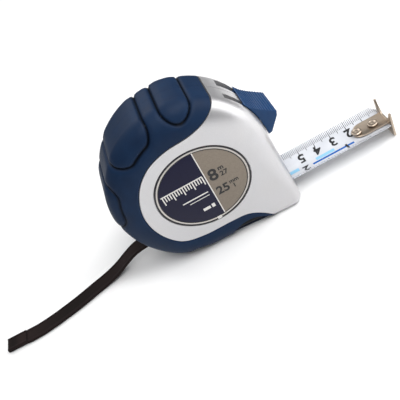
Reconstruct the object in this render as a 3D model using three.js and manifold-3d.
// Pocket tape measure, 8 m blade, 25 mm wide: a two-part ABS case with an overmoulded rubber grip,
// a spring-return reel, a curved steel blade with a riveted end hook, a thumb lock that works a
// brake lever, a belt clip and a woven wrist strap.
// Millimetres, +Z up, +X the way the blade comes out, +Y towards the belt clip.
// The model is drawn about the reel axis (X 0, Z reelHeight) and the parting plane (Y 0) with the
// base at Z 0, then shifted so that the origin is the bottom centre of everything but the strap.

import * as THREE from 'three';
import { mergeVertices } from 'three/addons/utils/BufferGeometryUtils.js';
import Module from 'manifold-3d';

const wasm = await Module();
wasm.setup();

// ---------- driving dimensions ----------

// case outline, side view
const rearRadius = 49.6;        // big arc round the back and over the top
const rearCentre = [0.5, 41.7];
const frontRadius = 43.7;       // flatter arc the thumb lock runs on
const arcJoin = 113;            // degrees from +X where the two arcs meet
const noseLean = 3;             // degrees the nose face leans back
const noseCorner = 5;           // radius of the nose's lower corner
const heelRadius = 30;          // blend from the rear arc to the base
// case section
const crownRound = 11;          // edge rounding along the arcs
const baseRound = 4;            // edge rounding along the base
const noseRound = 6;            // edge rounding down the nose
const baseFlare = 7;            // degrees the crown outline drops below the base towards the nose
const noseFlare = 12;           // degrees the crown outline runs out ahead of the nose
// walls and clearances
const gripThickness = 2;
const shellWall = 2;
const gap = 0.3;                // between pieces that touch
const running = 0.4;            // between pieces that move past each other
const sideRoom = 1.6;           // between a washer and the case wall
// reel
const reelHeight = 43;
const coilInner = 20;
const coilOuter = 31;
const drumWall = 1.6;
const flangeLip = 1.2;          // how far the flanges reach past the coil
const flangeThickness = 1.2;
const arborRadius = 4;
const washerThickness = 0.7;
const washerRadius = 8.5;
const springThickness = 0.5;
const springTurns = 5;
// blade
const bladeWidth = 25;          // measured round the curve
const bladeCurve = 19;          // radius of the cross curve
const bladeThickness = 0.3;
const bladeBottom = 6.5;        // lowest line of the blade above the base
const bladeInner = 36;          // X of the straight blade's inner end
const bladeTip = 105;           // X of the blade's tip, 61 mm out of the nose
const bladeParked = 45;         // X of the tip with the blade wound right in
// hook
const hookThickness = 1.2;
const hookHalfWidth = 9.2;
const hookBottom = 0.4;
const hookTop = 16.6;
const hookPlay = 1.2;           // how far the hook floats on its rivets
const tongueLength = 19;
const tongueHalfWidth = 6;
const tongueThickness = 1;
const rivetHeadRadius = 3;
const rivetShankRadius = 1.2;
const rivetTailRadius = 2.2;
const rivetTailThickness = 0.6;
const rivetSetback = [6.8, 16.8];
// thumb lock and brake
const lockHalfWidth = 10.4;
const lockLegOffset = 7.45;     // Y of each leg's middle
const lockLegThickness = 1.5;
const lockTravel = 10;          // degrees round the front arc
const lockLegAngles = [9, 27];
const brakePivot = [27.5, 15.5];
const brakePinRadius = 1;
const brakeHalfWidth = 5;
const brakeThickness = 2.4;
const padHalfWidth = 7;
const padLength = 4.6;
// label, clip, screws and strap
const labelHalfX = 25.9;
const labelHalfZ = 24.1;
const labelRecess = 1;
const labelThickness = 0.6;
const clipWidth = 16;
const clipThickness = 1;
const clipGap = 5.2;
const clipHeight = 42;
const screwShankRadius = 1.2;
const screwHeadRadius = 2.4;
const screwHeadThickness = 2;
const screwBossRadius = 3.4;
const strapWidth = 10;
const strapThickness = 1.6;
const strapEndWidth = 9.4;
const strapEndThickness = 2.4;
const strapPinRadius = 1.5;
const strapPinPlace = [-32.5, 12];

// ---------- derived sizes ----------

const rad = THREE.MathUtils.degToRad;
const polar = (centre, radius, degrees) => [
  centre[0] + radius * Math.cos(rad(degrees)),
  centre[1] + radius * Math.sin(rad(degrees)),
];
const frontCentre = polar(rearCentre, rearRadius - frontRadius, arcJoin);
const shellDepth = gripThickness + gap;
const cavityDepth = shellDepth + shellWall;
const reelCentre = [0, reelHeight];
const coilHalf = bladeWidth / 2;
const flangeRadius = coilOuter + flangeLip;
const flangeInner = coilHalf + running;
const flangeOuter = flangeInner + flangeThickness;
const washerOuter = flangeOuter + gap + washerThickness;
const cavityHalf = washerOuter + sideRoom;
const halfThickness = cavityHalf + cavityDepth;
const bladeHalfAngle = bladeWidth / 2 / bladeCurve;
const rivetTailBottom = bladeBottom - gap - rivetTailThickness;
const far = 200;                // beyond every surface, for cutting solids
const arcSteps = 18;            // facets on each of the case's big arcs

// ---------- solids ----------

/** A watertight position-only geometry as a manifold solid, turned outwards if it is inside out. */
function solid(geometry) {
  const bare = geometry.clone();
  bare.deleteAttribute('normal');
  bare.deleteAttribute('uv');
  const merged = mergeVertices(bare, 1e-4);
  const position = merged.getAttribute('position');
  const index = merged.getIndex();
  const triangles = [];
  let volume = 0;
  const a = new THREE.Vector3();
  const b = new THREE.Vector3();
  const c = new THREE.Vector3();
  for (let i = 0; i < index.count; i += 3) {
    const [p, q, r] = [index.getX(i), index.getX(i + 1), index.getX(i + 2)];
    if (p === q || q === r || r === p) continue;
    a.fromBufferAttribute(position, p);
    b.fromBufferAttribute(position, q);
    c.fromBufferAttribute(position, r);
    volume += a.dot(b.cross(c));
    triangles.push(p, q, r);
  }
  if (volume < 0) {
    for (let i = 0; i < triangles.length; i += 3) {
      [triangles[i + 1], triangles[i + 2]] = [triangles[i + 2], triangles[i + 1]];
    }
  }
  return new wasm.Manifold(new wasm.Mesh({
    numProp: 3,
    vertProperties: Float32Array.from(position.array),
    triVerts: Uint32Array.from(triangles),
  }));
}

/** The manifold solid as a three.js geometry. */
function geometryOf(piece) {
  const { vertProperties, triVerts } = piece.getMesh();
  const geometry = new THREE.BufferGeometry();
  geometry.setAttribute('position', new THREE.BufferAttribute(Float32Array.from(vertProperties), 3));
  geometry.setIndex(Array.from(triVerts));
  geometry.computeVertexNormals();
  return geometry;
}

const shapeOf = (points) => new THREE.Shape(points.map(([x, y]) => new THREE.Vector2(x, y)));
const X = new THREE.Vector3(1, 0, 0);
const Y = new THREE.Vector3(0, 1, 0);
const Z = new THREE.Vector3(0, 0, 1);

/** Side-view (X, Z) outline extruded from Y low to Y high. */
function alongY(points, low, high, options = {}) {
  const geometry = new THREE.ExtrudeGeometry(shapeOf(points), {
    depth: high - low, bevelEnabled: false, ...options,
  });
  geometry.applyMatrix4(new THREE.Matrix4().makeBasis(X, Z, Y.clone().negate()));
  geometry.translate(0, high, 0);
  return solid(geometry);
}

/** Front-view (Y, Z) outline extruded from X low to X high. */
function alongX(points, low, high) {
  const geometry = new THREE.ExtrudeGeometry(shapeOf(points), {
    depth: high - low, bevelEnabled: false,
  });
  geometry.applyMatrix4(new THREE.Matrix4().makeBasis(Y, Z, X));
  geometry.translate(low, 0, 0);
  return solid(geometry);
}

/** Plan-view (X, Y) outline extruded from Z low to Z high. */
function alongZ(points, low, high) {
  const geometry = new THREE.ExtrudeGeometry(shapeOf(points), {
    depth: high - low, bevelEnabled: false,
  });
  geometry.translate(0, 0, low);
  return solid(geometry);
}

/** A box between two corners. */
function block(low, high) {
  const size = high.map((value, i) => value - low[i]);
  const geometry = new THREE.BoxGeometry(...size);
  geometry.translate(...high.map((value, i) => (value + low[i]) / 2));
  return solid(geometry);
}

/** A closed (radius, Y) profile turned about an axis along Y at a side-view point. */
function turned(profile, centre, segments = 32) {
  const points = profile.map(([r, y]) => new THREE.Vector2(r, y));
  points.push(points[0].clone());
  const geometry = new THREE.LatheGeometry(points, segments);
  geometry.translate(centre[0], 0, centre[1]);
  return solid(geometry);
}

/** A plain ring or disc about an axis along Y. */
const ring = (inner, outer, low, high, centre, segments) => turned(
  [[inner, low], [outer, low], [outer, high], [inner, high]], centre, segments,
);

/** Points on an arc in the side view, from one angle to another. */
function arc(centre, radius, from, to, steps) {
  return Array.from({ length: steps + 1 }, (_, i) => (
    polar(centre, radius, from + ((to - from) * i) / steps)
  ));
}

/** A closed counter-clockwise loop moved inwards by a distance. */
function inset(points, distance) {
  const count = points.length;
  return points.map((point, i) => {
    const before = points[(i + count - 1) % count];
    const after = points[(i + 1) % count];
    const inward = ([x0, y0], [x1, y1]) => {
      const length = Math.hypot(x1 - x0, y1 - y0);
      return [-(y1 - y0) / length, (x1 - x0) / length];
    };
    const [ax, ay] = inward(before, point);
    const [bx, by] = inward(point, after);
    const scale = distance / (1 + ax * bx + ay * by);
    return [point[0] + (ax + bx) * scale, point[1] + (ay + by) * scale];
  });
}

/** An open line of points given a thickness, as a closed outline. */
function ribbon(points, thickness) {
  const side = (sign) => points.map((point, i) => {
    const before = points[Math.max(i - 1, 0)];
    const after = points[Math.min(i + 1, points.length - 1)];
    const length = Math.hypot(after[0] - before[0], after[1] - before[1]);
    const offset = (sign * thickness) / 2 / length;
    return [point[0] - (after[1] - before[1]) * offset, point[1] + (after[0] - before[0]) * offset];
  });
  return [...side(-1), ...side(1).reverse()];
}

// ---------- case ----------

/** Where the line tangent to the front arc at an angle stands at a height. */
function tangentX(angle, z) {
  const reach = frontRadius + frontCentre[0] * Math.cos(rad(angle)) + frontCentre[1] * Math.sin(rad(angle));
  return (reach - z * Math.sin(rad(angle))) / Math.cos(rad(angle));
}
const noseX = (z) => tangentX(noseLean, z);

const heelCentre = [
  rearCentre[0] - Math.sqrt((rearRadius - heelRadius) ** 2 - (rearCentre[1] - heelRadius) ** 2),
  heelRadius,
];
const heelAngle = 180 + THREE.MathUtils.radToDeg(
  Math.atan2(rearCentre[1] - heelRadius, rearCentre[0] - heelCentre[0]),
);

/** The side-view outline that the case shows. */
function caseOutline() {
  const corner = [noseX(noseCorner) - noseCorner, noseCorner];
  return [
    ...arc(corner, noseCorner, -90, 0, 5),
    ...arc(frontCentre, frontRadius, noseLean, arcJoin, arcSteps),
    ...arc(rearCentre, rearRadius, arcJoin, heelAngle, arcSteps).slice(1),
    ...arc(heelCentre, heelRadius, heelAngle, 270, 6).slice(1),
  ];
}

/** A wider outline that carries the crown's rounding, so that it fades out at the nose and base. */
function crownOutline() {
  const heelEnd = 270 - baseFlare;
  const [heelX, heelZ] = polar(heelCentre, heelRadius, heelEnd);
  const drop = Math.tan(rad(baseFlare));
  const lean = Math.tan(rad(noseFlare));
  const corner = crownRound + 1;
  const reachX = tangentX(noseFlare, 0) - corner / Math.cos(rad(noseFlare));
  const reachZ = heelZ + drop * heelX + corner / Math.cos(rad(baseFlare));
  const cornerX = (reachX - reachZ * lean) / (1 - drop * lean);
  const cornerZ = reachZ - drop * cornerX;
  return [
    ...arc([cornerX, cornerZ], corner, heelEnd - 360, noseFlare, 6),
    ...arc(frontCentre, frontRadius, noseFlare, arcJoin, arcSteps),
    ...arc(rearCentre, rearRadius, arcJoin, heelAngle, arcSteps).slice(1),
    ...arc(heelCentre, heelRadius, heelAngle, heelEnd, 5).slice(1),
  ];
}

/** Everything inside the case's surface, moved inwards by a depth. */
function caseBody(depth) {
  const round = crownRound - depth;
  const half = halfThickness - crownRound;
  const crown = alongY(inset(crownOutline(), depth), -half, half, {
    bevelEnabled: true, bevelSegments: 4, bevelSize: round, bevelThickness: round, bevelOffset: -round,
  });
  const side = alongY(inset(caseOutline(), depth), -far, far);
  const halfWidth = halfThickness - depth;
  const foot = Math.max(baseRound - depth, 0.5);
  const front = alongX([
    ...arc([halfWidth - foot, depth + foot], foot, -90, 0, 4),
    [halfWidth, far], [-halfWidth, far],
    ...arc([foot - halfWidth, depth + foot], foot, 180, 270, 4),
  ], -far, far);
  const cheek = Math.max(noseRound - depth, 0.5);
  const noseFace = noseX(0) * Math.cos(rad(noseLean)) - depth;
  const plan = alongZ([
    [-far, -halfWidth],
    ...arc([noseFace - cheek, cheek - halfWidth], cheek, -90, 0, 4),
    ...arc([noseFace - cheek, halfWidth - cheek], cheek, 0, 90, 4),
    [-far, halfWidth],
  ], -far, far).rotate([0, -noseLean, 0]);
  return crown.intersect(side).intersect(front).intersect(plan);
}

/** The bare part of the case: an island on each face that opens out into the whole nose. */
function bareOutline() {
  const edge = new THREE.SplineCurve([
    [25.2, 84], [23.4, 80.9], [16.5, 77.1], [6, 74.3], [-8, 73], [-20, 68.3], [-29.5, 58],
    [-34.3, 43], [-32.3, 28.5], [-24.5, 17], [-12, 13.3], [4, 12.9], [14, 11.8], [22, 6.5], [27.5, 0],
  ].map(([x, z]) => new THREE.Vector2(x, z))).getPoints(32).map((p) => [p.x, p.y]);
  return [[edge[0][0], far], ...edge, [31, -4], [far, -4], [far, far]];
}

/** A cut for one of the two slots that the thumb lock's legs run in. */
function lockSlot(side) {
  const from = lockLegAngles[0] - 3;
  const to = lockLegAngles[1] + lockTravel + 5;
  const inner = frontRadius - cavityDepth - 2;
  const outer = frontRadius + 2;
  const half = lockLegThickness / 2 + running;
  return alongY(
    [...arc(frontCentre, inner, to, from, 8), ...arc(frontCentre, outer, from, to, 8)].reverse(),
    side * lockLegOffset - half, side * lockLegOffset + half,
  );
}

const mouthHalf = bladeWidth / 2 + 0.9;
const mouthTop = bladeBottom + 6.3;
const mouth = block([noseX(0) - 14, -mouthHalf, cavityDepth], [noseX(0) + 5, mouthHalf, mouthTop]);

const strapSlotHalf = strapWidth / 2 + 0.8;
const strapSlot = block(
  [strapPinPlace[0] - 20, -strapSlotHalf, strapPinPlace[1] - strapThickness / 2 - 0.9],
  [strapPinPlace[0], strapSlotHalf, strapPinPlace[1] + strapThickness / 2 + 0.9],
);

const screwPlaces = [
  polar(frontCentre, frontRadius - cavityDepth - screwBossRadius + 1, 52),
  polar(rearCentre, rearRadius - cavityDepth - screwBossRadius + 1, 130),
  [strapPinPlace[0] + 4.5, strapPinPlace[1] + 5],
];
const screwSeat = cavityHalf - 2;

const outside = caseBody(0);
const underGrip = caseBody(shellDepth);
const cavity = caseBody(cavityDepth);
const bare = alongY(bareOutline(), -far, far);
const bareInset = alongY(inset(bareOutline(), gap), -far, far);
const frontHalf = block([-far, -far, -far], [far, -gap / 2, far]);
const backHalf = block([-far, gap / 2, -far], [far, far, far]);
const label = new THREE.EllipseCurve(reelCentre[0], reelCentre[1], labelHalfX, labelHalfZ);
const labelOutline = (grow) => Array.from({ length: 36 }, (_, i) => {
  const at = label.getPoint(i / 36);
  const away = at.clone().sub(new THREE.Vector2(...reelCentre)).normalize();
  return [at.x + away.x * grow, at.y + away.y * grow];
});

/** One half of the case: wall, bare island, bosses for the reel, brake pin and screws. */
function shell(half, side) {
  const span = (a, b) => (side < 0 ? [-b, -a] : [a, b]);
  const boss = (radius, from, centre) => ring(0, radius, ...span(from, halfThickness), centre, 20);
  const hole = (radius, from, to, centre) => ring(0, radius, ...span(from, to), centre, 20);
  let piece = outside.intersect(bareInset).add(underGrip).subtract(cavity);
  const bosses = boss(arborRadius + gap + 2.4, washerOuter + gap, reelCentre)
    .add(boss(brakePinRadius + gap + 1.8, cavityHalf - 2.5, brakePivot))
    .add(boss(strapPinRadius + gap + 1.5, 9.5, strapPinPlace))
    .add(screwPlaces.map((place) => boss(screwBossRadius, 0, place)).reduce((all, one) => all.add(one)))
    .intersect(underGrip);
  piece = piece.add(bosses)
    .subtract(hole(arborRadius + gap, 0, cavityHalf - gap, reelCentre))
    .subtract(hole(brakePinRadius + gap, 0, cavityHalf - gap, brakePivot))
    .subtract(hole(strapPinRadius + gap, 0, 12, strapPinPlace))
    .subtract(mouth).subtract(strapSlot).subtract(lockSlot(side));
  for (const place of screwPlaces) {
    piece = piece.subtract(hole(screwShankRadius + gap, 0, side < 0 ? 10 : far, place));
    if (side > 0) piece = piece.subtract(hole(screwHeadRadius + gap, screwSeat, far, place));
  }
  if (side < 0) {
    const depth = halfThickness - labelRecess;
    piece = piece.subtract(alongY(labelOutline(gap), -far, -depth));
  } else {
    piece = piece.subtract(hole(screwShankRadius + gap, cavityHalf + gap, far, clipScrewPlace));
  }
  return piece.intersect(half);
}

/** The rubber skin on one half, over everything that isn't bare. */
function grip(half, side) {
  let piece = outside.subtract(caseBody(gripThickness)).subtract(bare).intersect(half).subtract(strapSlot);
  if (side > 0) {
    for (const place of screwPlaces) {
      piece = piece.subtract(ring(0, screwHeadRadius + gap, 0, far, place, 20));
    }
  }
  return piece;
}

// ---------- reel ----------

const drumOuter = coilInner - running;
const drumInner = drumOuter - drumWall;
const boreRadius = arborRadius + running;

function reelDrum() {
  return turned([
    [boreRadius, flangeInner], [drumInner, flangeInner], [drumInner, gap - flangeInner],
    [drumOuter, gap - flangeInner], [drumOuter, flangeInner], [flangeRadius, flangeInner],
    [flangeRadius, flangeOuter], [boreRadius, flangeOuter],
  ], reelCentre, 40);
}

/** The mainspring: a flat strip wound from the arbor out to the drum. */
function mainspring() {
  const from = boreRadius + 0.6;
  const to = drumInner - 0.6;
  const steps = springTurns * 12;
  const line = Array.from({ length: steps + 1 }, (_, i) => (
    polar(reelCentre, from + ((to - from) * i) / steps, i * 30)
  ));
  const half = coilHalf - 1;
  return alongY(ribbon(line, springThickness), -half, half);
}

function arbor() {
  const length = cavityHalf - gap * 2;
  const slit = block([-0.5, 1 - coilHalf, reelHeight], [0.5, coilHalf - 1, reelHeight + arborRadius + 1]);
  return ring(0, arborRadius, -length, length, reelCentre, 24).subtract(slit);
}

const washer = (side) => ring(
  arborRadius + gap, washerRadius,
  ...(side < 0 ? [-washerOuter, -flangeOuter - gap] : [flangeOuter + gap, washerOuter]), reelCentre, 24,
);

/** The blade between the coil and its straight stretch, where it flattens to wind. */
function bladeLead() {
  const start = reelHeight - coilOuter - 0.6;
  const low = bladeBottom + 0.2;
  const line = [[2, start], [10, start - 1.7], [16, low + 0.9], [20, low], [bladeInner - 0.9, low]];
  return alongY(ribbon(line, bladeThickness), -coilHalf + gap, coilHalf - gap);
}

// ---------- blade and hook ----------

/** Front-view arc concentric with the blade's curve, as a closed strip between two radii. */
function curvedStrip(inner, outer, halfAngle) {
  const centre = [0, bladeBottom + bladeCurve + bladeThickness];
  const half = THREE.MathUtils.radToDeg(halfAngle);
  return [
    ...arc(centre, outer, -90 - half, -90 + half, 12),
    ...arc(centre, inner, -90 + half, -90 - half, 12),
  ];
}

const rivetPlaces = rivetSetback.map((back) => bladeTip - back);

function upright(radius, low, high, x, segments = 20) {
  const geometry = new THREE.CylinderGeometry(radius, radius, high - low, segments);
  geometry.rotateX(Math.PI / 2);
  geometry.translate(x, 0, (low + high) / 2);
  return solid(geometry);
}

function blade() {
  const section = curvedStrip(bladeCurve, bladeCurve + bladeThickness, bladeHalfAngle);
  const corner = 3;
  const trim = alongZ([
    [bladeInner, -coilHalf], [bladeTip - corner, -coilHalf], [bladeTip, corner - coilHalf],
    [bladeTip, coilHalf - corner], [bladeTip - corner, coilHalf], [bladeInner, coilHalf],
  ], 0, far);
  const strip = alongX(section, bladeInner, bladeTip).intersect(trim);
  return rivetPlaces.reduce(
    (piece, x) => piece.subtract(upright(rivetShankRadius + gap, 0, far, x)), strip,
  );
}

const tongueOuter = bladeCurve - gap;
const tongueInner = tongueOuter - tongueThickness;
const plateX = bladeTip + gap;

function hook() {
  const halfAngle = tongueHalfWidth / tongueOuter;
  const round = alongZ([
    [far, -tongueHalfWidth], [far, tongueHalfWidth],
    ...arc([bladeTip - tongueLength + tongueHalfWidth, 0], tongueHalfWidth, 90, 270, 10),
  ], 0, far);
  let tongue = alongX(curvedStrip(tongueInner, tongueOuter, halfAngle), bladeTip - tongueLength, plateX + 0.5)
    .intersect(round);
  for (const x of rivetPlaces) {
    const slot = rivetShankRadius + gap;
    tongue = tongue.subtract(alongZ([
      ...arc([x, 0], slot, -90, 90, 8), ...arc([x - hookPlay, 0], slot, 90, 270, 8),
    ], 0, far));
  }
  const valley = bladeBottom + bladeThickness + gap + tongueThickness + 1;
  const ear = 2.4;
  const corner = 1.2;
  const plate = alongX([
    ...arc([hookHalfWidth - corner, hookBottom + corner], corner, -90, 0, 4),
    [hookHalfWidth, hookTop], [hookHalfWidth - ear / 2, hookTop], [hookHalfWidth - ear, hookTop - 3],
    [3.5, valley], [-3.5, valley],
    [ear - hookHalfWidth, hookTop - 3], [ear / 2 - hookHalfWidth, hookTop], [-hookHalfWidth, hookTop],
    ...arc([corner - hookHalfWidth, hookBottom + corner], corner, 180, 270, 4),
  ], plateX, plateX + hookThickness);
  return tongue.add(plate);
}

/** A rivet: domed head above the tongue, shank, and a flat tail under the blade. */
function hookRivet(x) {
  const headBase = bladeBottom + bladeThickness + gap + tongueThickness + 0.6;
  const tailTop = bladeBottom - gap;
  const profile = [
    [0, rivetTailBottom], [rivetTailRadius, rivetTailBottom], [rivetTailRadius, tailTop], [rivetShankRadius, tailTop],
    [rivetShankRadius, headBase], [rivetHeadRadius, headBase], [rivetHeadRadius - 0.4, headBase + 0.6],
    [rivetHeadRadius / 2, headBase + 1], [0, headBase + 1.1],
  ].map(([r, y]) => new THREE.Vector2(r, y));
  const geometry = new THREE.LatheGeometry(profile, 20);
  geometry.rotateX(Math.PI / 2);
  geometry.translate(x, 0, 0);
  return solid(geometry);
}

/** The saddle that the blade slides over in the mouth. */
function mouthGuide() {
  const groove = bladeCurve + bladeThickness + gap;
  const centre = [0, bladeBottom + bladeCurve + bladeThickness];
  const half = 11.4;
  const spread = THREE.MathUtils.radToDeg(Math.asin(half / groove));
  const base = cavityDepth + gap;
  const saddle = alongX([
    [-half, base], [half, base], ...arc(centre, groove, -90 + spread, -90 - spread, 10),
  ], bladeInner - 0.5, noseX(mouthTop) - 1.2);
  return saddle.subtract(block([0, -rivetTailRadius - gap, rivetTailBottom - gap], [far, rivetTailRadius + gap, far]));
}

// ---------- thumb lock and brake ----------

function lockSlider() {
  const ride = frontRadius + running;
  const from = -3;
  const to = 30;
  const outer = [
    [from, frontRadius + 2.6], [4, frontRadius + 6.9], [7.4, frontRadius + 9.2], [9, frontRadius + 8.6],
    [14, frontRadius + 4.4], [18, frontRadius + 1.9], [to, frontRadius + 1.1],
  ].map(([angle, radius]) => polar(frontCentre, radius, angle));
  const tipInner = [noseX(outer[0][1]) + running + 0.4, outer[0][1]];
  const cap = alongY(
    [tipInner, ...outer, ...arc(frontCentre, ride, to, from + 8, 6)],
    -lockHalfWidth, lockHalfWidth,
  );
  const legInner = frontRadius - cavityDepth - 0.9;
  const bridgeInner = legInner - 1.3;
  const [legFrom, legTo] = lockLegAngles;
  const sector = (low, high, a, b) => [
    ...arc(frontCentre, high, a, b, 6), ...arc(frontCentre, low, b, a, 6),
  ];
  const leg = (side) => alongY(
    sector(bridgeInner, ride + 0.5, legFrom, legTo),
    side * lockLegOffset - lockLegThickness / 2, side * lockLegOffset + lockLegThickness / 2,
  );
  const bridge = alongY(
    sector(bridgeInner, legInner, legFrom, legTo), -lockLegOffset, lockLegOffset,
  );
  return cap.add(leg(-1)).add(leg(1)).add(bridge);
}

function lockSpring() {
  const radius = frontRadius - cavityDepth - 3.2;
  const line = arc(frontCentre, radius, lockLegAngles[0] + 4, lockLegAngles[1] + lockTravel + 3, 10);
  return alongY(ribbon(line, 0.5), -4, 4);
}

const padFront = bladeParked - tongueLength - 1.4;
const padX = [padFront - padLength, padFront];
const padTop = bladeBottom + 3.7;

function brakeLever() {
  const [px, pz] = brakePivot;
  const armX = flangeRadius + 1.6;
  const armTop = reelHeight + 7;
  const lowZ = padTop + gap;
  const upper = alongY(ribbon(
    [[px, pz], [armX - 2, pz + 9], [armX, pz + 16], [armX, armTop]], brakeThickness,
  ), -brakeHalfWidth, brakeHalfWidth);
  const lower = alongY([
    [padX[0], lowZ], [padX[1], lowZ], [px, pz - brakeThickness], [px, pz + brakeThickness],
    [padX[0], lowZ + brakeThickness],
  ], -brakeHalfWidth, brakeHalfWidth);
  const hub = ring(0, brakePinRadius + 2, -brakeHalfWidth, brakeHalfWidth, brakePivot, 20);
  return hub.add(upper).add(lower)
    .subtract(ring(0, brakePinRadius + gap, -far, far, brakePivot, 20));
}

function brakePad() {
  const face = bladeCurve - running;
  const centre = [0, bladeBottom + bladeCurve + bladeThickness];
  const spread = THREE.MathUtils.radToDeg(Math.asin(padHalfWidth / face));
  return alongX([
    ...arc(centre, face, -90 - spread, -90 + spread, 8), [padHalfWidth, padTop], [-padHalfWidth, padTop],
  ], ...padX);
}

function leverPin() {
  const length = cavityHalf - 2 * gap;
  return ring(0, brakePinRadius, -length, length, brakePivot, 16);
}

// ---------- belt clip, screws and strap ----------

const clipScrewPlace = [reelCentre[0], reelHeight - 8];
const clipY = halfThickness + gap + clipThickness / 2;

function beltClip() {
  const top = reelHeight + clipHeight / 2;
  const bottom = reelHeight - clipHeight / 2;
  const bend = (clipGap + clipThickness) / 2;
  const line = [
    [clipY, bottom], [clipY, top - bend],
    ...arc([clipY + bend, top - bend], bend, 180, 0, 8).slice(1),
    [clipY + 2 * bend - 0.6, bottom + 4], [clipY + 2 * bend + 0.6, bottom - 3],
  ];
  const strip = alongX(ribbon(line, clipThickness), -clipWidth / 2, clipWidth / 2);
  return strip
    .subtract(ring(0, screwShankRadius + gap, clipY - 1, clipY + 1, clipScrewPlace, 20))
    .subtract(ring(0, screwHeadRadius + 1, clipY + 2, far, clipScrewPlace, 20));
}

/** A pan-head screw driven in along -Y, its head's underside at a seat and a driver slot across it. */
function screw(place, seat, length, headThickness) {
  const body = turned([
    [0, seat - length], [screwShankRadius, seat - length], [screwShankRadius, seat],
    [screwHeadRadius, seat], [screwHeadRadius, seat + headThickness * 0.6],
    [screwHeadRadius * 0.7, seat + headThickness], [0, seat + headThickness],
  ], place, 20);
  const [x, z] = place;
  const arm = screwHeadRadius * 0.55;
  const slotFloor = seat + headThickness * 0.4;
  const across = block([x - arm, slotFloor, z - 0.3], [x + arm, far, z + 0.3]);
  const up = block([x - 0.3, slotFloor, z - arm], [x + 0.3, far, z + arm]);
  return body.subtract(across).subtract(up);
}

const caseScrew = (place) => screw(place, screwSeat + gap, screwSeat + 9, screwHeadThickness);
const clipScrew = () => screw(clipScrewPlace, clipY + clipThickness / 2 + gap, 3.4, 1.4);

function strapPin() {
  return ring(0, strapPinRadius, -11.6, 11.6, strapPinPlace, 16);
}

// The strap's middle line: straight out of the case, down to the table and away in a slow curve.
const strapRoute = [
  [strapPinPlace[0] - strapPinRadius - gap, 0, strapPinPlace[1]], [-40, 0, 12], [-46, 0, 11.8],
  [-53, 0, 10.6], [-60, 0, 7.6], [-66, -0.2, 4.6], [-72, -0.8, 2.5], [-78, -1.9, 1.5],
  [-84, -3.4, 1.25], [-91, -5.6, 1.2], [-98, -7.7, 1.2], [-105, -9.4, 1.2], [-112, -10.9, 1.2],
  [-119, -12, 1.2], [-125, -12.5, 1.2], [-131, -12.4, 1.2],
];
const strapFold = 12.5;         // length of the sewn end

/** A flat band with rounded edges drawn along a route of points. */
function band(route, width, thickness, steps) {
  const w = width / 2;
  const t = thickness / 2;
  const section = shapeOf([
    [-w, -t * 0.5], [-w + t * 0.6, -t], [w - t * 0.6, -t], [w, -t * 0.5],
    [w, t * 0.5], [w - t * 0.6, t], [-w + t * 0.6, t], [-w, t * 0.5],
  ]);
  const path = new THREE.CatmullRomCurve3(route.map((p) => new THREE.Vector3(...p)));
  return solid(new THREE.ExtrudeGeometry(section, { steps, extrudePath: path }));
}

const wristStrap = () => band(strapRoute, strapWidth, strapThickness, 36);

/** The sewn end: a short square block lying in line with the strap's last stretch. */
function strapEnd() {
  const [[ax, ay], [bx, by, bz]] = strapRoute.slice(-2);
  const length = Math.hypot(bx - ax, by - ay);
  const along = [(bx - ax) / length, (by - ay) / length];
  const corner = (distance, side) => [
    bx + along[0] * distance - along[1] * side, by + along[1] * distance + along[0] * side,
  ];
  const half = strapEndWidth / 2;
  const bottom = bz - strapThickness / 2;
  return alongZ(
    [corner(gap, -half), corner(strapFold, -half), corner(strapFold, half), corner(gap, half)],
    bottom, bottom + strapEndThickness,
  );
}

// ---------- finishes ----------

const finishes = {
  silver: { color: '#c6c7ca', roughness: 0.38, metalness: 0.25 },
  rubber: { color: '#14283f', roughness: 0.7, metalness: 0 },
  lock: { color: '#1f4f7f', roughness: 0.45, metalness: 0 },
  label: { color: '#22234a', roughness: 0.3, metalness: 0 },
  blade: { color: '#eceef0', roughness: 0.3, metalness: 0 },
  nickel: { color: '#8d857c', roughness: 0.3, metalness: 1 },
  steel: { color: '#9fa2a6', roughness: 0.35, metalness: 1 },
  spring: { color: '#5b6068', roughness: 0.35, metalness: 1 },
  black: { color: '#1b1c1e', roughness: 0.5, metalness: 0 },
  nylon: { color: '#e4e2da', roughness: 0.45, metalness: 0 },
  pad: { color: '#202124', roughness: 0.85, metalness: 0 },
  webbing: { color: '#2b2220', roughness: 0.9, metalness: 0 },
};
for (const name of Object.keys(finishes)) {
  finishes[name] = new THREE.MeshStandardMaterial(finishes[name]);
}

// ---------- assembly ----------

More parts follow.
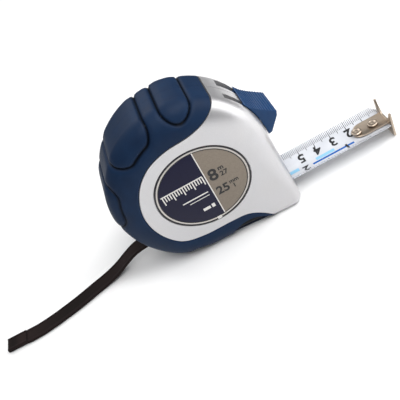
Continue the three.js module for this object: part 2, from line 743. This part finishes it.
const tape = new THREE.Group();
const parts = [
  ['shell_front', shell(frontHalf, -1), 'silver'],
  ['shell_back', shell(backHalf, 1), 'silver'],
  ['grip_front', grip(frontHalf, -1), 'rubber'],
  ['grip_back', grip(backHalf, 1), 'rubber'],
  ['label_front', alongY(
    labelOutline(0), labelRecess - halfThickness - gap - labelThickness, labelRecess - halfThickness - gap,
  ), 'label'],
  ['mouth_guide', mouthGuide(), 'nylon'],
  ['lock_slider', lockSlider(), 'lock'],
  ['lock_spring', lockSpring(), 'spring'],
  ['brake_lever', brakeLever(), 'nylon'],
  ['brake_pad', brakePad(), 'pad'],
  ['lever_pin', leverPin(), 'steel'],
  ['reel_drum', reelDrum(), 'black'],
  ['reel_cover', ring(boreRadius, flangeRadius, -flangeOuter, -flangeInner, reelCentre, 40), 'black'],
  ['mainspring', mainspring(), 'spring'],
  ['arbor', arbor(), 'steel'],
  ['washer_front', washer(-1), 'nylon'],
  ['washer_back', washer(1), 'nylon'],
  ['blade_coil', ring(coilInner, coilOuter, -coilHalf, coilHalf, reelCentre, 40), 'blade'],
  ['blade_lead', bladeLead(), 'blade'],
  ['blade', blade(), 'blade'],
  ['hook', hook(), 'nickel'],
  ['hook_rivet_front', hookRivet(rivetPlaces[0]), 'nickel'],
  ['hook_rivet_rear', hookRivet(rivetPlaces[1]), 'nickel'],
  ['belt_clip', beltClip(), 'steel'],
  ['clip_screw', clipScrew(), 'steel'],
  ['strap_pin', strapPin(), 'steel'],
  ...screwPlaces.map((place, i) => [`case_screw_${i + 1}`, caseScrew(place), 'steel']),
];
for (const [name, piece, finish] of parts) {
  const mesh = new THREE.Mesh(geometryOf(piece), finishes[finish]);
  mesh.name = name;
  tape.add(mesh);
}

const bounds = new THREE.Box3().setFromObject(tape);
const centre = bounds.getCenter(new THREE.Vector3());
for (const [name, piece] of [['wrist_strap', wristStrap()], ['strap_end', strapEnd()]]) {
  const mesh = new THREE.Mesh(geometryOf(piece), finishes.webbing);
  mesh.name = name;
  tape.add(mesh);
}
tape.position.set(-centre.x, -centre.y, -bounds.min.z);

export default tape;
